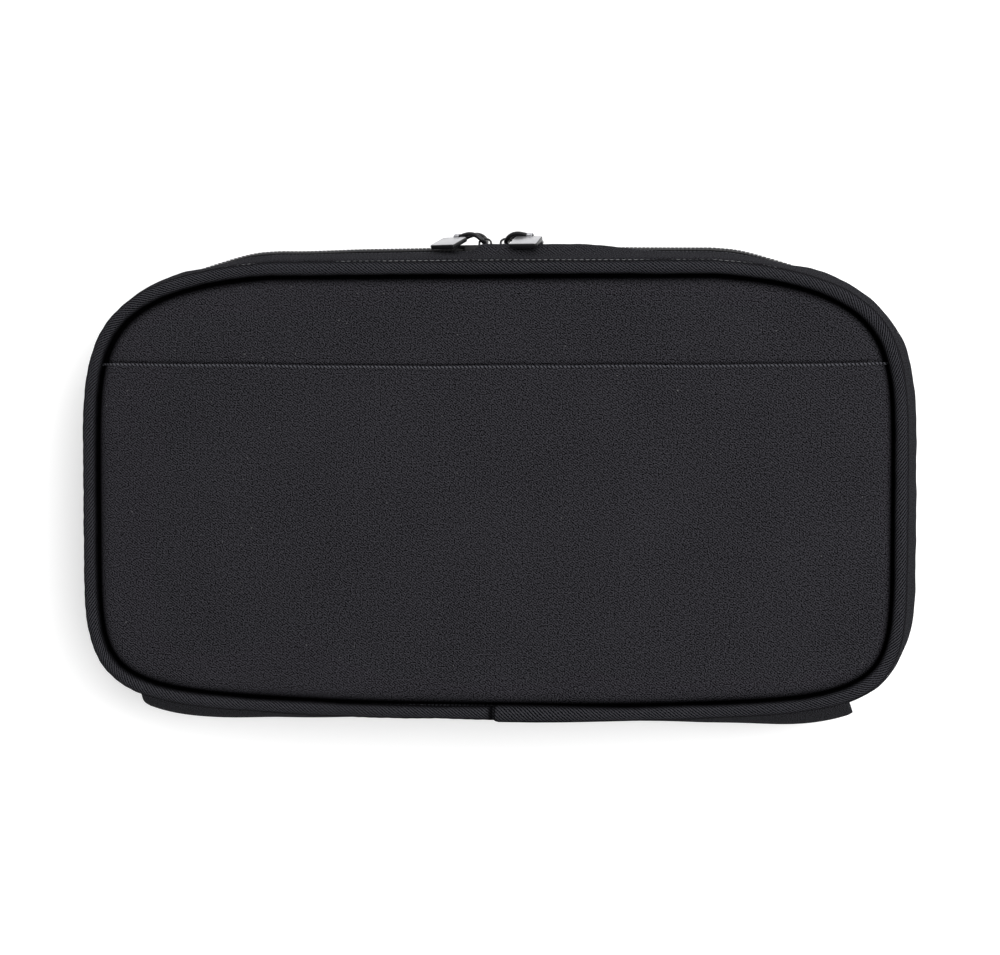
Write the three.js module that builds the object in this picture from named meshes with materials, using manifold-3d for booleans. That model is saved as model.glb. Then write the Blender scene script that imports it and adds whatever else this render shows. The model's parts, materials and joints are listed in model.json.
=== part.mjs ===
// Cable organizer pouch: a soft clamshell case of twill fabric, 256 x 150 x 50 mm.
// Two shallow trays, each a stiffened panel with a piped edge and a padded side wall, meet at a
// two-slider zipper that runs round three sides. A fabric spine joins them along the fourth side.
// The pouch lies on its back: +X is its width, +Y points at the zipper's middle, +Z out of the front.
// The origin is the middle of the back panel's outer face. All sizes are in millimetres.

import * as THREE from "three";
import { mergeVertices } from "three/addons/utils/BufferGeometryUtils.js";
import Module from "manifold-3d";

const wasm = await Module();
wasm.setup();

// ---- Driving dimensions ----
const DEPTH = 50; // front face to back face
const MIDDLE = DEPTH / 2; // height of the zipper's plane
const FACE_HALF_WIDTH = 124; // to the outside of the piping
const FACE_HALF_HEIGHT = 68;
const CROWN = 1; // shaved off the zipper side, so that the sliders run on a straight
const TOP_SQUARENESS = 4.4; // superellipse power of the zipper-side corners
const SPINE_SQUARENESS = 6.2; // and of the tighter spine-side corners
const RING_STEPS = 60;
const WALL_STEPS = 48;
const SPINE_STEPS = 12;

const GAP = 0.3; // kept between neighbouring pieces
const PIPING_RADIUS = 2.1;
const PIPING_DEPTH = 2.4; // centre of the piping below the face
const PANEL = { offset: -4.6, thickness: 0.9 };
const BOARD = { offset: -5.0, thickness: 2.5 };
const LINING = { offset: -4.8, thickness: 0.8 };
const POCKET_EDGE_Y = 36.9; // hemmed mouth of the outside slip pocket
const POCKET_THICKNESS = 0.8;

const WALL_START = 4.8; // depth below the face where the side wall begins
const WALL_END = 19.3; // where its hem stops, beside the zipper
const SEAM_OFFSET = -0.9; // wall surface at the piping seam, from the piping's outside
const BULGE = 4.9; // how far it swells from there to the middle
const ZIPPER_SWELL = 1.3; // how much further it swells along the zipper's straight run
const SWELL_FADE = { from: 36, to: 64 }; // Y between which that starts and is complete
const CORNER_TUCK = 0.9; // how far the wall is held in at the corners, where it is gathered
const CORNER = { from: 0.6, to: 0.76 }; // product of X and Y, as shares of the face, for the same
const TUCK_MARGIN = 6; // depth from either face where that starts
const FABRIC = 1.0; // thickness of the wall's outer layer
const WALL_LINING = { top: -2.8, thickness: 0.8 }; // below the wall surface
const TAPE = { from: 16, top: -1.9, thickness: 0.5 };
const COIL = { from: 22, top: -0.3, thickness: 1.3 };
const CHAIN_HALF_GAP = 0.65; // the sliders' necks pass between the two rows of coil
const SPINE_PROUD = 0.9; // the spine's folded edge stands above the wall
const SPINE_HALF_WIDTH = 106.5;
const BINDING = { from: 6.3, to: 9.5, offset: -4.8, thickness: 1.4 };

const SLIDER = { nose: 0.5, length: 12, halfWidth: 3.9, plate: 0.8, clearance: 0.3, under: 0.8 };
const BRIDGE = { slack: 0.85, halfWidth: 0.9, thickness: 0.6 };
const NECK_HALF_WIDTH = 0.3;
const WIRE_RADIUS = 0.65;
const LOOP = { length: 10.8, halfWidth: 3.0, arch: 2.7, skew: 0.7, barFromNose: 2.8, roll: 2 };
const LOOP_YAW = { left: -14, right: -6 };
const TAG_YAW = { left: -12, right: -4 }; // the tag's own turn on its loop
const TAG = { width: 8.6, length: 8.4, thickness: 1.1, lugWidth: 1.6, along: 7.9, droop: 20 };

const STRAP = { width: 25, loops: 5, pitch: 38, thickness: 1.0, rise: 4.9, land: 2, ramp: 7 };
const STRAP_Y = { upper: 24, lower: -24 };
const MESH = { halfWidth: 92, bottom: -52, mouth: 18, depth: 5.4, thickness: 0.8, corner: 12 };
const ELASTIC = { height: 6, thickness: 1.2, proud: 0.4 };

const DEG = Math.PI / 180;

// ---- Materials ----
const cloth = (color, roughness = 0.85) => new THREE.MeshStandardMaterial({ color, roughness });
const metal = (color, roughness) => new THREE.MeshStandardMaterial({ color, roughness, metalness: 1 });
const TWILL = cloth(0x1b1b1e);
const PIPING = cloth(0x18181b, 0.8);
const LINING_CLOTH = cloth(0x3b3c40, 0.75);
const FOAM = cloth(0x2a2a2c, 0.95);
const TAPE_CLOTH = cloth(0x141416);
const NYLON = cloth(0x111113, 0.45);
const ELASTIC_WEB = cloth(0x151517, 0.8);
const NET = cloth(0x1a1a1c, 0.7);
const BLACK_METAL = metal(0x1c1c1f, 0.35);
const SILVER = metal(0xc9cacf, 0.28);

// ---- Solids ----
function solidOf(geometry) {
  const bare = geometry.clone();
  bare.deleteAttribute("normal");
  bare.deleteAttribute("uv");
  const merged = mergeVertices(bare, 1e-4);
  return new wasm.Manifold(
    new wasm.Mesh({
      numProp: 3,
      vertProperties: new Float32Array(merged.attributes.position.array),
      triVerts: new Uint32Array(merged.index.array),
    }),
  );
}

function geometryOf(solid) {
  const mesh = solid.getMesh();
  const geometry = new THREE.BufferGeometry();
  geometry.setAttribute("position", new THREE.BufferAttribute(new Float32Array(mesh.vertProperties), 3));
  geometry.setIndex(new THREE.BufferAttribute(new Uint32Array(mesh.triVerts), 1));
  geometry.computeVertexNormals();
  return geometry;
}

function join(...geometries) {
  const solids = geometries.map(solidOf);
  return geometryOf(solids.reduce((all, next) => all.add(next)));
}

function box(from, to) {
  const size = to.map((v, i) => v - from[i]);
  return new THREE.BoxGeometry(...size).translate(...from.map((v, i) => v + size[i] / 2));
}

function plate(shape, from, thickness) {
  return new THREE.ExtrudeGeometry(shape, { depth: thickness, bevelEnabled: false }).translate(0, 0, from);
}

// ---- The face outline ----
// A superellipse with softer corners on the zipper side, where its crown is shaved flat. The angle
// runs anticlockwise from +X, and offset moves the point out along the normal.
function edgePoint(angle, offset = 0) {
  const c = Math.cos(angle);
  const s = Math.sin(angle);
  const power = s >= 0 ? TOP_SQUARENESS : SPINE_SQUARENESS;
  const height = s >= 0 ? FACE_HALF_HEIGHT + CROWN : FACE_HALF_HEIGHT;
  const u = Math.sign(c) * Math.abs(c) ** (2 / power);
  const v = Math.sign(s) * Math.abs(s) ** (2 / power);
  const point = new THREE.Vector2(FACE_HALF_WIDTH * u, height * v);
  if (point.y > FACE_HALF_HEIGHT) return point.setY(FACE_HALF_HEIGHT + offset);
  const normal = new THREE.Vector2(
    (Math.sign(u) * Math.abs(u) ** (power - 1)) / FACE_HALF_WIDTH,
    (Math.sign(v) * Math.abs(v) ** (power - 1)) / height,
  );
  return point.add(normal.setLength(offset));
}

// The same outline as a path for ExtrudeGeometry. Its steps are even in angle, which puts most of
// them in the corners, so neighbouring pieces share their facets.
class EdgePath extends THREE.Curve {
  constructor(from, to, offset = 0, z = 0) {
    super();
    Object.assign(this, { from, to, offset, z });
  }
  getPoint(t) {
    const p = edgePoint(this.from + (this.to - this.from) * t, this.offset);
    return new THREE.Vector3(p.x, p.y, this.z);
  }
  getUtoTmapping(u) {
    return u;
  }
}

const SPINE_CORNER = Math.acos((SPINE_HALF_WIDTH / FACE_HALF_WIDTH) ** (SPINE_SQUARENESS / 2));
const SEAM_ANGLE = 0.3 * DEG; // half the gap at a butt joint
const WALL_FROM = -SPINE_CORNER + SEAM_ANGLE;
const WALL_TO = Math.PI + SPINE_CORNER - SEAM_ANGLE;
const JOIN_ANGLE = (GAP / 2 / FACE_HALF_WIDTH) ** (SPINE_SQUARENESS / 2);
const JOIN_FROM = -Math.PI / 2 + JOIN_ANGLE; // rings butt at the middle of the spine side
const JOIN_TO = (3 * Math.PI) / 2 - JOIN_ANGLE;

function faceShape(offset) {
  const points = [];
  for (let i = 0; i < RING_STEPS; i++) points.push(edgePoint((i / RING_STEPS) * 2 * Math.PI, offset));
  return new THREE.Shape(points);
}

// Sweeps a cross-section of [offset, z] points along the edge.
function sweep(section, from, to, steps, tuck = CORNER_TUCK) {
  const shape = new THREE.Shape(section.map(([offset, z]) => new THREE.Vector2(-z, -offset)));
  const extrudePath = new EdgePath(from, to);
  return settle(new THREE.ExtrudeGeometry(shape, { steps, bevelEnabled: false, extrudePath }), tuck);
}

// Lets a piece swell out along the zipper and holds it in at the corners, both of them most at the
// middle of the pouch's depth.
function settle(geometry, tuck) {
  const at = geometry.attributes.position;
  for (let i = 0; i < at.count; i++) {
    const [x, y] = [at.getX(i), at.getY(i)];
    const u = Math.abs(x) / FACE_HALF_WIDTH;
    const v = Math.abs(y) / FACE_HALF_HEIGHT;
    const z = at.getZ(i);
    const middle = Math.sin((Math.PI * z) / DEPTH);
    const inside = THREE.MathUtils.clamp((z - TUCK_MARGIN) / (DEPTH - 2 * TUCK_MARGIN), 0, 1);
    const corner = THREE.MathUtils.smoothstep(u * v, CORNER.from, CORNER.to);
    const along = THREE.MathUtils.smoothstep(y, SWELL_FADE.from, SWELL_FADE.to) * (1 - corner);
    const power = y > 0 ? TOP_SQUARENESS : SPINE_SQUARENESS;
    const inwards = new THREE.Vector2(
      -Math.sign(x) * (u ** (power - 1) / FACE_HALF_WIDTH),
      -Math.sign(y) * (v ** (power - 1) / FACE_HALF_HEIGHT),
    ).setLength(tuck * corner * Math.sin(Math.PI * inside));
    at.setXY(i, x + inwards.x, y + inwards.y + ZIPPER_SWELL * along * middle);
  }
  return geometry;
}

// ---- The side wall's section ----
function wallOffset(depth) {
  const share = (depth - WALL_START) / (MIDDLE - WALL_START);
  return SEAM_OFFSET + BULGE * Math.sin((Math.max(share, 0) * Math.PI) / 2);
}

// A layer of the wall between two depths, from top down by thickness, measured from the wall surface.
function layer(front, fromDepth, toDepth, top, thickness, segments = 4) {
  const z = (depth) => (front ? DEPTH - depth : depth);
  const outer = [];
  const inner = [];
  for (let i = 0; i <= segments; i++) {
    const depth = fromDepth + ((toDepth - fromDepth) * i) / segments;
    outer.push([wallOffset(depth) + top, z(depth)]);
    inner.unshift([wallOffset(depth) + top - thickness, z(depth)]);
  }
  return [...outer, ...inner];
}

// ---- Trays: what the front and the back share ----
function addTray(group, front) {
  const side = front ? "front" : "back";
  const z = (depth, thickness) => (front ? DEPTH - depth - thickness : depth);
  const add = (name, geometry, material) => addMesh(group, `${side}_${name}`, geometry, material);
  const panelDepth = front ? POCKET_THICKNESS + GAP : 0;
  const boardDepth = panelDepth + PANEL.thickness + GAP;
  const liningDepth = boardDepth + BOARD.thickness + GAP;
  const chainEnd = MIDDLE - CHAIN_HALF_GAP;
  const foldDepth = MIDDLE - GAP / 2;

  add("panel", plate(faceShape(PANEL.offset), z(panelDepth, PANEL.thickness), PANEL.thickness), TWILL);
  add("stiffener", plate(faceShape(BOARD.offset), z(boardDepth, BOARD.thickness), BOARD.thickness), FOAM);
  const lining = plate(faceShape(LINING.offset), z(liningDepth, LINING.thickness), LINING.thickness);
  add("lining", lining, LINING_CLOTH);
  add("piping", piping(z(PIPING_DEPTH, 0)), PIPING);

  const wall = layer(front, WALL_START, WALL_END, 0, FABRIC);
  add("gusset", sweep(wall, WALL_FROM, WALL_TO, WALL_STEPS), TWILL);
  const wallLining = layer(front, WALL_START, WALL_END, WALL_LINING.top, WALL_LINING.thickness, 2);
  add("gusset_lining", sweep(wallLining, WALL_FROM, WALL_TO, WALL_STEPS), LINING_CLOTH);
  const tape = layer(front, TAPE.from, chainEnd, TAPE.top, TAPE.thickness, 3);
  add("zipper_tape", sweep(tape, WALL_FROM, WALL_TO, WALL_STEPS), TAPE_CLOTH);
  const coil = layer(front, COIL.from, chainEnd, COIL.top, COIL.thickness, 1);
  add("zipper_coil", sweep(coil, WALL_FROM, WALL_TO, WALL_STEPS), NYLON);

  const spineFrom = Math.PI + SPINE_CORNER + SEAM_ANGLE;
  const spineTo = 2 * Math.PI - SPINE_CORNER - SEAM_ANGLE;
  const spine = layer(front, WALL_START, foldDepth, SPINE_PROUD, FABRIC + SPINE_PROUD);
  add("spine", sweep(spine, spineFrom, spineTo, SPINE_STEPS, 0), TWILL);
  const spineLining = layer(front, WALL_START, foldDepth, WALL_LINING.top, WALL_LINING.thickness, 2);
  add("spine_lining", sweep(spineLining, spineFrom, spineTo, SPINE_STEPS, 0), LINING_CLOTH);
  add("seam_binding", binding(z), TAPE_CLOTH);
}

function piping(z) {
  const section = new THREE.Shape().absarc(0, 0, PIPING_RADIUS, 0, 2 * Math.PI);
  const extrudePath = new EdgePath(JOIN_FROM, JOIN_TO, -PIPING_RADIUS, z);
  const steps = RING_STEPS;
  return new THREE.ExtrudeGeometry(section, { steps, curveSegments: 8, bevelEnabled: false, extrudePath });
}

// The tape that covers the raw edges of the seam inside the tray.
function binding(z) {
  const { from, to, offset, thickness } = BINDING;
  const section = [
    [offset, z(from, 0)],
    [offset, z(to, 0)],
    [offset - thickness, z(to, 0)],
    [offset - thickness, z(from, 0)],
  ];
  return sweep(section, JOIN_FROM, JOIN_TO, RING_STEPS);
}

// ---- Outside slip pocket: a second layer over the lower part of the front ----
function pocketPanel() {
  const whole = plate(faceShape(PANEL.offset), DEPTH - POCKET_THICKNESS, POCKET_THICKNESS);
  const below = box(
    [-FACE_HALF_WIDTH, -FACE_HALF_HEIGHT, 0],
    [FACE_HALF_WIDTH, POCKET_EDGE_Y, DEPTH + 1],
  );
  return geometryOf(solidOf(whole).intersect(solidOf(below)));
}

// ---- Elastic cable loops: a webbing strap tacked down between arched loops ----
function strapHeight(along) {
  const { pitch, land, ramp, rise } = STRAP;
  const fromTack = Math.min(along, pitch - along);
  const share = THREE.MathUtils.clamp((fromTack - land) / ramp, 0, 1);
  return (rise * (1 - Math.cos(share * Math.PI))) / 2;
}

function strap(y, floor) {
  const { pitch, loops, land, ramp, thickness, width } = STRAP;
  const start = (-loops * pitch) / 2;
  const stops = [0, land, land + ramp / 3, land + (2 * ramp) / 3, land + ramp];
  const marks = [...stops, ...stops.map((s) => pitch - s).reverse()];
  const top = [];
  for (let i = 0; i < loops; i++) {
    for (const s of marks.slice(i ? 1 : 0)) {
      top.push(new THREE.Vector2(start + i * pitch + s, floor + strapHeight(s)));
    }
  }
  const under = [...top].reverse();
  const over = top.map((p) => new THREE.Vector2(p.x, p.y + thickness));
  const section = new THREE.Shape([...over, ...under]);
  return new THREE.ExtrudeGeometry(section, { depth: width, bevelEnabled: false })
    .rotateX(Math.PI / 2)
    .translate(0, y + width / 2, 0);
}

// ---- Net pocket on the lid's lining, open towards the zipper ----
function roundedRect(halfWidth, bottom, top, r) {
  const shape = new THREE.Shape();
  shape.moveTo(-halfWidth, top);
  shape.lineTo(-halfWidth, bottom + r);
  shape.absarc(-halfWidth + r, bottom + r, r, Math.PI, 1.5 * Math.PI);
  shape.absarc(halfWidth - r, bottom + r, r, 1.5 * Math.PI, 2 * Math.PI);
  shape.lineTo(halfWidth, top);
  return shape;
}

function netPocket(ceiling) {
  const { halfWidth, bottom, mouth, depth, thickness, corner } = MESH;
  const extrude = (shape, from, to) =>
    new THREE.ExtrudeGeometry(shape, { depth: to - from, curveSegments: 5, bevelEnabled: false })
      .translate(0, 0, from);
  const outer = roundedRect(halfWidth, bottom, mouth, corner);
  const t = thickness;
  const inner = roundedRect(halfWidth - t, bottom + t, mouth + 1, corner - t);
  const shell = solidOf(extrude(outer, ceiling - depth, ceiling));
  return geometryOf(shell.subtract(solidOf(extrude(inner, ceiling - depth + t, ceiling + 1))));
}

function netElastic(ceiling) {
  const { halfWidth, mouth, depth } = MESH;
  const low = ceiling - depth - ELASTIC.proud;
  return box(
    [-halfWidth, mouth + GAP, low],
    [halfWidth, mouth + GAP + ELASTIC.height, low + ELASTIC.thickness],
  );
}

// ---- Zipper slider and pull ----
// Drawn on the +X side of the middle, with its nose towards it. The slider's lip is on the lid's
// side only, so that the back row of coil can leave it when the lid lifts.
const WALL_TOP = FACE_HALF_HEIGHT + wallOffset(MIDDLE) + ZIPPER_SWELL;
const PLATE_LOW = WALL_TOP + COIL.top + SLIDER.clearance;
const PLATE_TOP = PLATE_LOW + SLIDER.plate;
const BOTTOM_TOP = WALL_TOP + TAPE.top - TAPE.thickness - SLIDER.under;
const ROLL_DROP = LOOP.halfWidth * Math.sin(LOOP.roll * DEG);
const BAR_Y = PLATE_TOP + 0.1 + WIRE_RADIUS + ROLL_DROP;
const BAR_X = SLIDER.nose + LOOP.barFromNose;

function sliderOutline() {
  const { nose, length, halfWidth } = SLIDER;
  const tail = nose + length;
  const shape = new THREE.Shape();
  shape.moveTo(nose, -halfWidth * 0.55);
  shape.quadraticCurveTo(nose + 0.6, -halfWidth, nose + 3, -halfWidth);
  shape.lineTo(tail - 1, -halfWidth * 0.82);
  shape.quadraticCurveTo(tail, -halfWidth * 0.8, tail, -halfWidth * 0.5);
  shape.lineTo(tail, halfWidth * 0.5);
  shape.quadraticCurveTo(tail, halfWidth * 0.8, tail - 1, halfWidth * 0.82);
  shape.lineTo(nose + 3, halfWidth);
  shape.quadraticCurveTo(nose + 0.6, halfWidth, nose, halfWidth * 0.55);
  return shape;
}

function sliderPlate(low) {
  // An outline in X and Z, thickened along Y.
  return new THREE.ExtrudeGeometry(sliderOutline(), {
    depth: SLIDER.plate,
    curveSegments: 3,
    bevelEnabled: false,
  })
    .rotateX(-Math.PI / 2)
    .translate(0, low, MIDDLE);
}

function bridge() {
  const { slack, halfWidth, thickness } = BRIDGE;
  const reach = WIRE_RADIUS + slack;
  const hole = new THREE.Path();
  hole.moveTo(BAR_X - reach, PLATE_TOP);
  hole.lineTo(BAR_X - reach, BAR_Y);
  hole.absellipse(BAR_X, BAR_Y, reach, WIRE_RADIUS + GAP, Math.PI, 0, true);
  hole.lineTo(BAR_X + reach, PLATE_TOP);
  const arch = new THREE.Shape();
  const outside = reach + thickness;
  arch.moveTo(BAR_X + outside, PLATE_TOP - 0.2);
  arch.lineTo(BAR_X + outside, BAR_Y);
  arch.absellipse(BAR_X, BAR_Y, outside, WIRE_RADIUS + GAP + thickness, 0, Math.PI);
  arch.lineTo(BAR_X - outside, PLATE_TOP - 0.2);
  arch.holes.push(hole);
  return new THREE.ExtrudeGeometry(arch, { depth: 2 * halfWidth, curveSegments: 6, bevelEnabled: false })
    .translate(0, 0, MIDDLE - halfWidth);
}

function slider() {
  const { nose, length, halfWidth, plate: t } = SLIDER;
  const neck = box(
    [nose + 1, BOTTOM_TOP - t / 2, MIDDLE - NECK_HALF_WIDTH],
    [nose + 4, PLATE_LOW + t / 2, MIDDLE + NECK_HALF_WIDTH],
  );
  const lipWidth = 0.7;
  const lipLow = WALL_TOP + TAPE.top + SLIDER.clearance;
  const lip = box(
    [nose + 3, lipLow, MIDDLE + halfWidth - lipWidth - 0.1],
    [nose + length - 3, PLATE_LOW + t / 2, MIDDLE + halfWidth - 0.1],
  );
  return join(sliderPlate(PLATE_LOW), sliderPlate(BOTTOM_TOP - t), neck, lip, bridge());
}

// The pull loop is one bent wire, its ends butted under the slider's bridge. In its own frame the
// bar lies on Z at the origin, the loop reaches along +X, and its sides arch towards +Y, steeply
// by the bar and gently after it.
function loopPoint(x, z) {
  return new THREE.Vector3(x, LOOP.arch * Math.sin(Math.PI * (x / LOOP.length) ** LOOP.skew), z);
}

function pullLoop() {
  const { length, halfWidth: w } = LOOP;
  const outline = [
    [0, 0.1],
    [0, w * 0.6],
    [0.55, w * 0.93],
    [1.8, w],
    [length * 0.45, w],
    [length * 0.8, w],
    [length * 0.93, w * 0.88],
    [length * 0.99, w * 0.5],
  ];
  const near = outline.map(([x, z]) => loopPoint(x, z));
  const far = outline.map(([x, z]) => loopPoint(x, -z)).reverse();
  const extrudePath = new THREE.CatmullRomCurve3([...near, loopPoint(length, 0), ...far]);
  const section = new THREE.Shape().absarc(0, 0, WIRE_RADIUS, 0, 2 * Math.PI);
  return new THREE.ExtrudeGeometry(section, {
    steps: 36,
    curveSegments: 6,
    bevelEnabled: false,
    extrudePath,
  });
}

// The tag hangs from the loop's front side by a lug folded round the wire. In its own frame the
// wire lies on X at the origin and the tag reaches along +Z.
function pullTag() {
  const { width, length, thickness: t, lugWidth } = TAG;
  const bore = WIRE_RADIUS + 0.5;
  const outside = bore + 0.6;
  const ring = new THREE.Shape().absarc(0, 0, outside, 0, 2 * Math.PI);
  ring.holes.push(new THREE.Path().absarc(0, 0, bore, 0, 2 * Math.PI));
  const lug = new THREE.ExtrudeGeometry(ring, { depth: lugWidth, curveSegments: 8, bevelEnabled: false })
    .rotateY(Math.PI / 2)
    .translate(-lugWidth / 2, 0, 0);
  const r = 1;
  const x = width / 2;
  const z0 = outside - 0.15;
  const outline = new THREE.Shape();
  outline.moveTo(-x, z0);
  outline.lineTo(x, z0);
  outline.lineTo(x, z0 + length - r);
  outline.absarc(x - r, z0 + length - r, r, 0, Math.PI / 2);
  outline.absarc(-x + r, z0 + length - r, r, Math.PI / 2, Math.PI);
  const face = new THREE.ExtrudeGeometry(outline, { depth: t, curveSegments: 3, bevelEnabled: false })
    .rotateX(Math.PI / 2)
    .translate(0, t / 2, 0);
  return join(lug, face);
}

function mirrored(geometry) {
  // A copy across the YZ plane, with its faces turned to point out again.
  const loose = geometry.index ? geometry.toNonIndexed() : geometry.clone();
  const copy = loose.scale(-1, 1, 1);
  const p = copy.attributes.position.array;
  for (let i = 0; i < p.length; i += 9) {
    for (let k = 0; k < 3; k++) [p[i + 3 + k], p[i + 6 + k]] = [p[i + 6 + k], p[i + 3 + k]];
  }
  copy.computeVertexNormals();
  return copy;
}

function addPull(group, side) {
  const sign = side === "right" ? 1 : -1;
  const handed = (geometry) => (sign > 0 ? geometry : mirrored(geometry));
  addMesh(group, `slider_${side}`, handed(slider()), BLACK_METAL);

  const pull = new THREE.Group();
  pull.position.set(sign * BAR_X, BAR_Y, MIDDLE);
  pull.rotation.set(LOOP.roll * DEG, LOOP_YAW[side] * DEG, 0, "YXZ");
  group.add(pull);
  addMesh(pull, `pull_loop_${side}`, handed(pullLoop()), BLACK_METAL);

  const tag = addMesh(pull, `pull_tag_${side}`, handed(pullTag()), SILVER);
  const at = loopPoint(TAG.along, LOOP.halfWidth);
  tag.position.set(sign * at.x, at.y, at.z);
  tag.rotation.set((TAG.droop - LOOP.roll) * DEG, TAG_YAW[side] * DEG, 0, "YXZ");
}

// ---- Assembly ----
function addMesh(group, name, geometry, material) {
  const mesh = new THREE.Mesh(geometry, material);
  mesh.name = name;
  group.add(mesh);
  return mesh;
}

const pouch = new THREE.Group();
addTray(pouch, false);
addTray(pouch, true);
addMesh(pouch, "front_pocket_panel", pocketPanel(), TWILL);

const strapFloor = PANEL.thickness + BOARD.thickness + LINING.thickness + 3 * GAP;
for (const [name, y] of Object.entries(STRAP_Y)) {
  addMesh(pouch, `elastic_loops_${name}`, strap(y, strapFloor), ELASTIC_WEB);
}

const netCeiling = DEPTH - POCKET_THICKNESS - PANEL.thickness - BOARD.thickness - LINING.thickness - 4 * GAP;
addMesh(pouch, "net_pocket", netPocket(netCeiling), NET);
addMesh(pouch, "net_pocket_elastic", netElastic(netCeiling), ELASTIC_WEB);

addPull(pouch, "left");
addPull(pouch, "right");

export default pouch;
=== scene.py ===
"""Cable organizer pouch: the looks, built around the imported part. Lengths in the tables below are
in millimetres and turned into metres when a mesh is made."""
import json
import math

import bmesh
import bpy
import numpy as np
from mathutils import Matrix, Vector


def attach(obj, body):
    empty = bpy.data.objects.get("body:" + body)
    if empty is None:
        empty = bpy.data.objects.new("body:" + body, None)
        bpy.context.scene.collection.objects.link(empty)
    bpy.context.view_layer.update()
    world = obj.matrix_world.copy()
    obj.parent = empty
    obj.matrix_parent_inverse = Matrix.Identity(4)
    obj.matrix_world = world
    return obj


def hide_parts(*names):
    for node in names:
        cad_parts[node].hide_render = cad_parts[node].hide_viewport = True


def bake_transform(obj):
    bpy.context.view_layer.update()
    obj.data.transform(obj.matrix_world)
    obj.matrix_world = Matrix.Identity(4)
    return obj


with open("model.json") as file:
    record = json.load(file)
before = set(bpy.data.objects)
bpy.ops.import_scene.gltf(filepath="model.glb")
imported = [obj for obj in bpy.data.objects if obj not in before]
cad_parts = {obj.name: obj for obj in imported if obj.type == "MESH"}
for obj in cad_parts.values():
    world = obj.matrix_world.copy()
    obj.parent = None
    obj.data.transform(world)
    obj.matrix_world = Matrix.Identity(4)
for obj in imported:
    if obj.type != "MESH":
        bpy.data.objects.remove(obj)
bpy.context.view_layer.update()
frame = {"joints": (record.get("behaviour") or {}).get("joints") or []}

MM = 0.001

# ---- dimensions, as in the part
DEPTH = 50.0
MIDDLE = 25.0
HALF_W, HALF_H, CROWN = 124.0, 68.0, 1.0
TOP_POWER, SPINE_POWER = 4.4, 6.2
SPINE_HALF = 106.5
PIPING_R = 2.1
PIPING_DEPTH = 2.4
WALL_START = 4.8
SEAM_OFFSET, BULGE = -0.9, 4.9
ZIPPER_SWELL, SWELL_FROM, SWELL_TO = 1.3, 36.0, 64.0
CORNER_TUCK, CORNER_FROM, CORNER_TO, TUCK_MARGIN = 0.9, 0.60, 0.76, 6.0
POCKET_Y = 36.9
BOARD_OFFSET, BOARD_THICKNESS = -7.4, 2.5
SIDES = {True: ("front", "lid"), False: ("back", "back_tray")}


# ---- small tools
def circle(count):
    """Angles once round."""
    return np.linspace(0, 2 * np.pi, count, endpoint=False)


def squared(value, power):
    """A sine or cosine pressed towards a square wave by a power under one."""
    return np.sign(value) * np.abs(value) ** power


def rounded(count, half_a, half_b, power_a=1.0, power_b=1.0, at=(0.0, 0.0)):
    """A rounded section of count points, from its half-sizes, its powers and its middle."""
    q = circle(count)
    a, b = half_a * squared(np.cos(q), power_a), half_b * squared(np.sin(q), power_b)
    return np.column_stack([at[0] + a, at[1] + b])


def arc(x, y, half_x, half_y, start, end, count):
    """Points on an ellipse between two angles in degrees."""
    q = np.radians(np.linspace(start, end, count))
    return np.column_stack([x + half_x * np.cos(q), y + half_y * np.sin(q)]).tolist()


def bell(value, middle, width):
    return np.exp(-(((value - middle) / width) ** 2))


def unit(vectors):
    return vectors / np.linalg.norm(vectors, axis=-1, keepdims=True)


def stacked(x, y, z):
    """A grid of points from its coordinates, each spread over the rows and columns."""
    return np.stack(np.broadcast_arrays(x, y, z), -1)


def raised_to(points, z=0.0):
    """Points [row, xy] with a height."""
    return np.column_stack([points, np.broadcast_to(z, len(points))])


def read_off(at, length, values, **period):
    """Reads values, given at lengths along a line, at other lengths."""
    return np.stack([np.interp(at, length, column, **period) for column in values.T], -1)


def lengths(points, closed=False):
    """Length along a line up to each of its points, and all the way round if it is closed."""
    points = np.vstack([points, points[:1]]) if closed else points
    return np.r_[0, np.cumsum(np.linalg.norm(np.diff(points, axis=0), axis=1))]


def smooth(t):
    t = np.clip(t, 0, 1)
    return t * t * (3 - 2 * t)


# ---- outline
def outline(count=4096):
    """The face outline as evenly spaced points, outward normals and the length along it. It starts
    at the middle of the spine side and runs anticlockwise."""
    t = -np.pi / 2 + np.linspace(0, 2 * np.pi, 60001)[:-1]
    c, s = np.cos(t), np.sin(t)
    power = np.where(s >= 0, TOP_POWER, SPINE_POWER)
    x = HALF_W * squared(c, 2 / power)
    y = np.minimum(np.where(s >= 0, HALF_H + CROWN, HALF_H) * squared(s, 2 / power), HALF_H)
    p = np.stack([x, y], 1)
    length = lengths(p, closed=True)
    total = length[-1]
    at = np.linspace(0, total, count, endpoint=False)
    ring = np.vstack([p, p[:1]])
    q = read_off(at, length, ring)
    tangent = unit(np.roll(q, -3, axis=0) - np.roll(q, 3, axis=0))
    normal = np.stack([tangent[:, 1], -tangent[:, 0]], 1)
    for _ in range(12):
        normal = (normal + np.roll(normal, 1, 0) + np.roll(normal, -1, 0)) / 3
    return q, unit(normal), at, total


EDGE, NORMAL, ALONG, PERIMETER = outline()


def edge_at(s, offset=0.0):
    """Points on the outline at lengths s, moved out by offset, and the outward directions there."""
    s = np.mod(np.asarray(s, float), PERIMETER)
    p = read_off(s, ALONG, EDGE, period=PERIMETER)
    n = unit(read_off(s, ALONG, NORMAL, period=PERIMETER))
    return p + n * np.asarray(offset)[..., None], n


def all_round(count):
    """Lengths once round the outline."""
    return np.linspace(0, PERIMETER, count, endpoint=False)


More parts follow.
